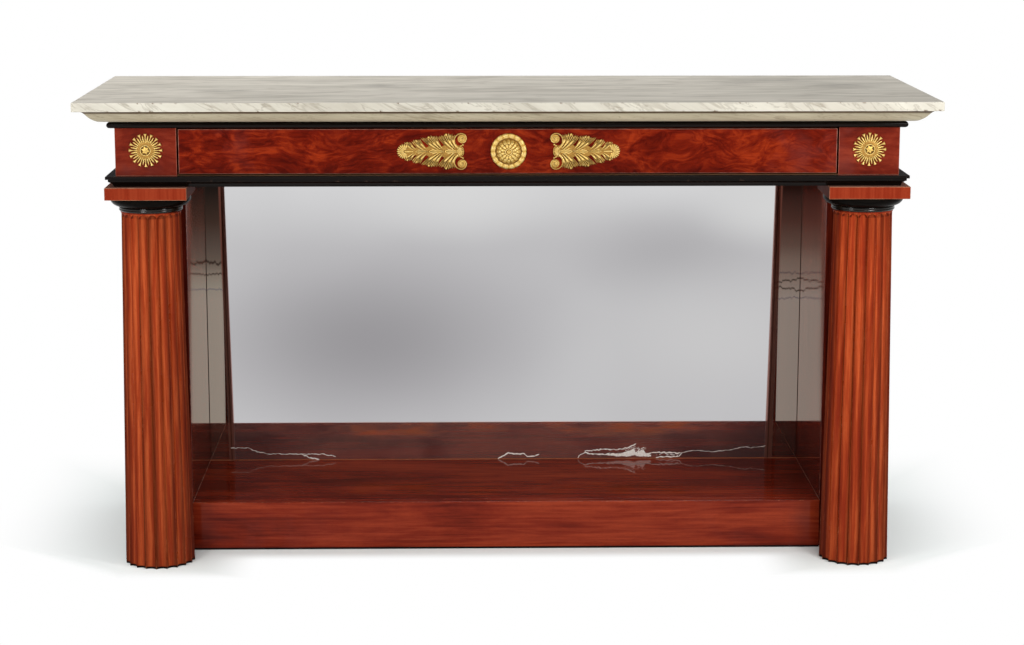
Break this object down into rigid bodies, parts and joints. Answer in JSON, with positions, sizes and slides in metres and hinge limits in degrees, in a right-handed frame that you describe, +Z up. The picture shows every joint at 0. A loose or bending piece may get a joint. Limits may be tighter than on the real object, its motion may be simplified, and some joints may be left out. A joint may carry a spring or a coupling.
{
  "type": "pier table",
  "caption": "Wide pier table: moulded marble slab on a drawer frieze, fluted columns in front, side boxes behind, and a mirror back above a low platform.",
  "frame": {"origin": "on the floor under the middle of the slab", "axes": "+Z up, +X to the right of someone facing the front, +Y to the wall behind"},
  "size_m": [1.67, 0.592, 0.94],
  "materials": {
    "marble": "polished, worn arrises",
    "ebonised": "gloss black shellac",
    "flame_mahogany": "French polished, high gloss",
    "frieze_mahogany": "French polished, high gloss",
    "column_mahogany": "French polished",
    "panel_mahogany": "French polished, high gloss",
    "pine": "raw, darkened with age",
    "gilt_bronze": "mercury gilt, matt and burnished",
    "brass": "turned, tarnished",
    "mirror": "old silvering, worn along the foot"
  },
  "bodies": {
    "carcass": {"marble_top": "marble", "upper_moulding_front": "ebonised", "upper_moulding_left": "ebonised", "upper_moulding_right": "ebonised", "lower_moulding_front": "ebonised", "lower_moulding_left": "ebonised", "lower_moulding_right": "ebonised", "capital_left": "ebonised", "capital_right": "ebonised", "corner_block_left": "frieze_mahogany", "corner_block_right": "frieze_mahogany", "frieze_side_left": "frieze_mahogany", "frieze_side_right": "frieze_mahogany", "column_shaft_left": "column_mahogany", "column_shaft_right": "column_mahogany", "abacus_left": "column_mahogany", "abacus_right": "column_mahogany", "pilaster_left": "panel_mahogany", "pilaster_right": "panel_mahogany", "side_inner_panel_left": "panel_mahogany", "side_inner_panel_right": "panel_mahogany", "side_outer_panel_left": "panel_mahogany", "side_outer_panel_right": "panel_mahogany", "platform_front": "panel_mahogany", "platform_top": "panel_mahogany", "top_rail_front": "pine", "top_rail_back": "pine", "top_rail_left": "pine", "top_rail_right": "pine", "frieze_back": "pine", "drawer_guide_left": "pine", "drawer_guide_right": "pine", "soffit_rail_front": "pine", "soffit_rail_back": "pine", "soffit_rail_left": "pine", "soffit_rail_right": "pine", "drawer_runner_left": "pine", "drawer_runner_right": "pine", "drawer_stops": "pine", "side_back_stile_left": "pine", "side_back_stile_right": "pine", "platform_back": "pine", "platform_bearers": "pine", "mirror_backboard": "pine", "mirror_battens": "pine", "column_dowels": "pine", "rosette_left": "gilt_bronze", "rosette_right": "gilt_bronze", "mirror_plate": "mirror"},
    "drawer": {"drawer_front": "flame_mahogany", "drawer_side_left": "pine", "drawer_side_right": "pine", "drawer_back": "pine", "drawer_bottom": "pine", "knob": "gilt_bronze", "knob_nut": "brass", "palmette_left": "gilt_bronze", "palmette_right": "gilt_bronze"}
  },
  "joints": [
    {"name": "drawer_slide", "type": "slide", "parent": "carcass", "child": "drawer", "axis": [0, -1, 0], "range_m": [0, 0.3]}
  ]
}
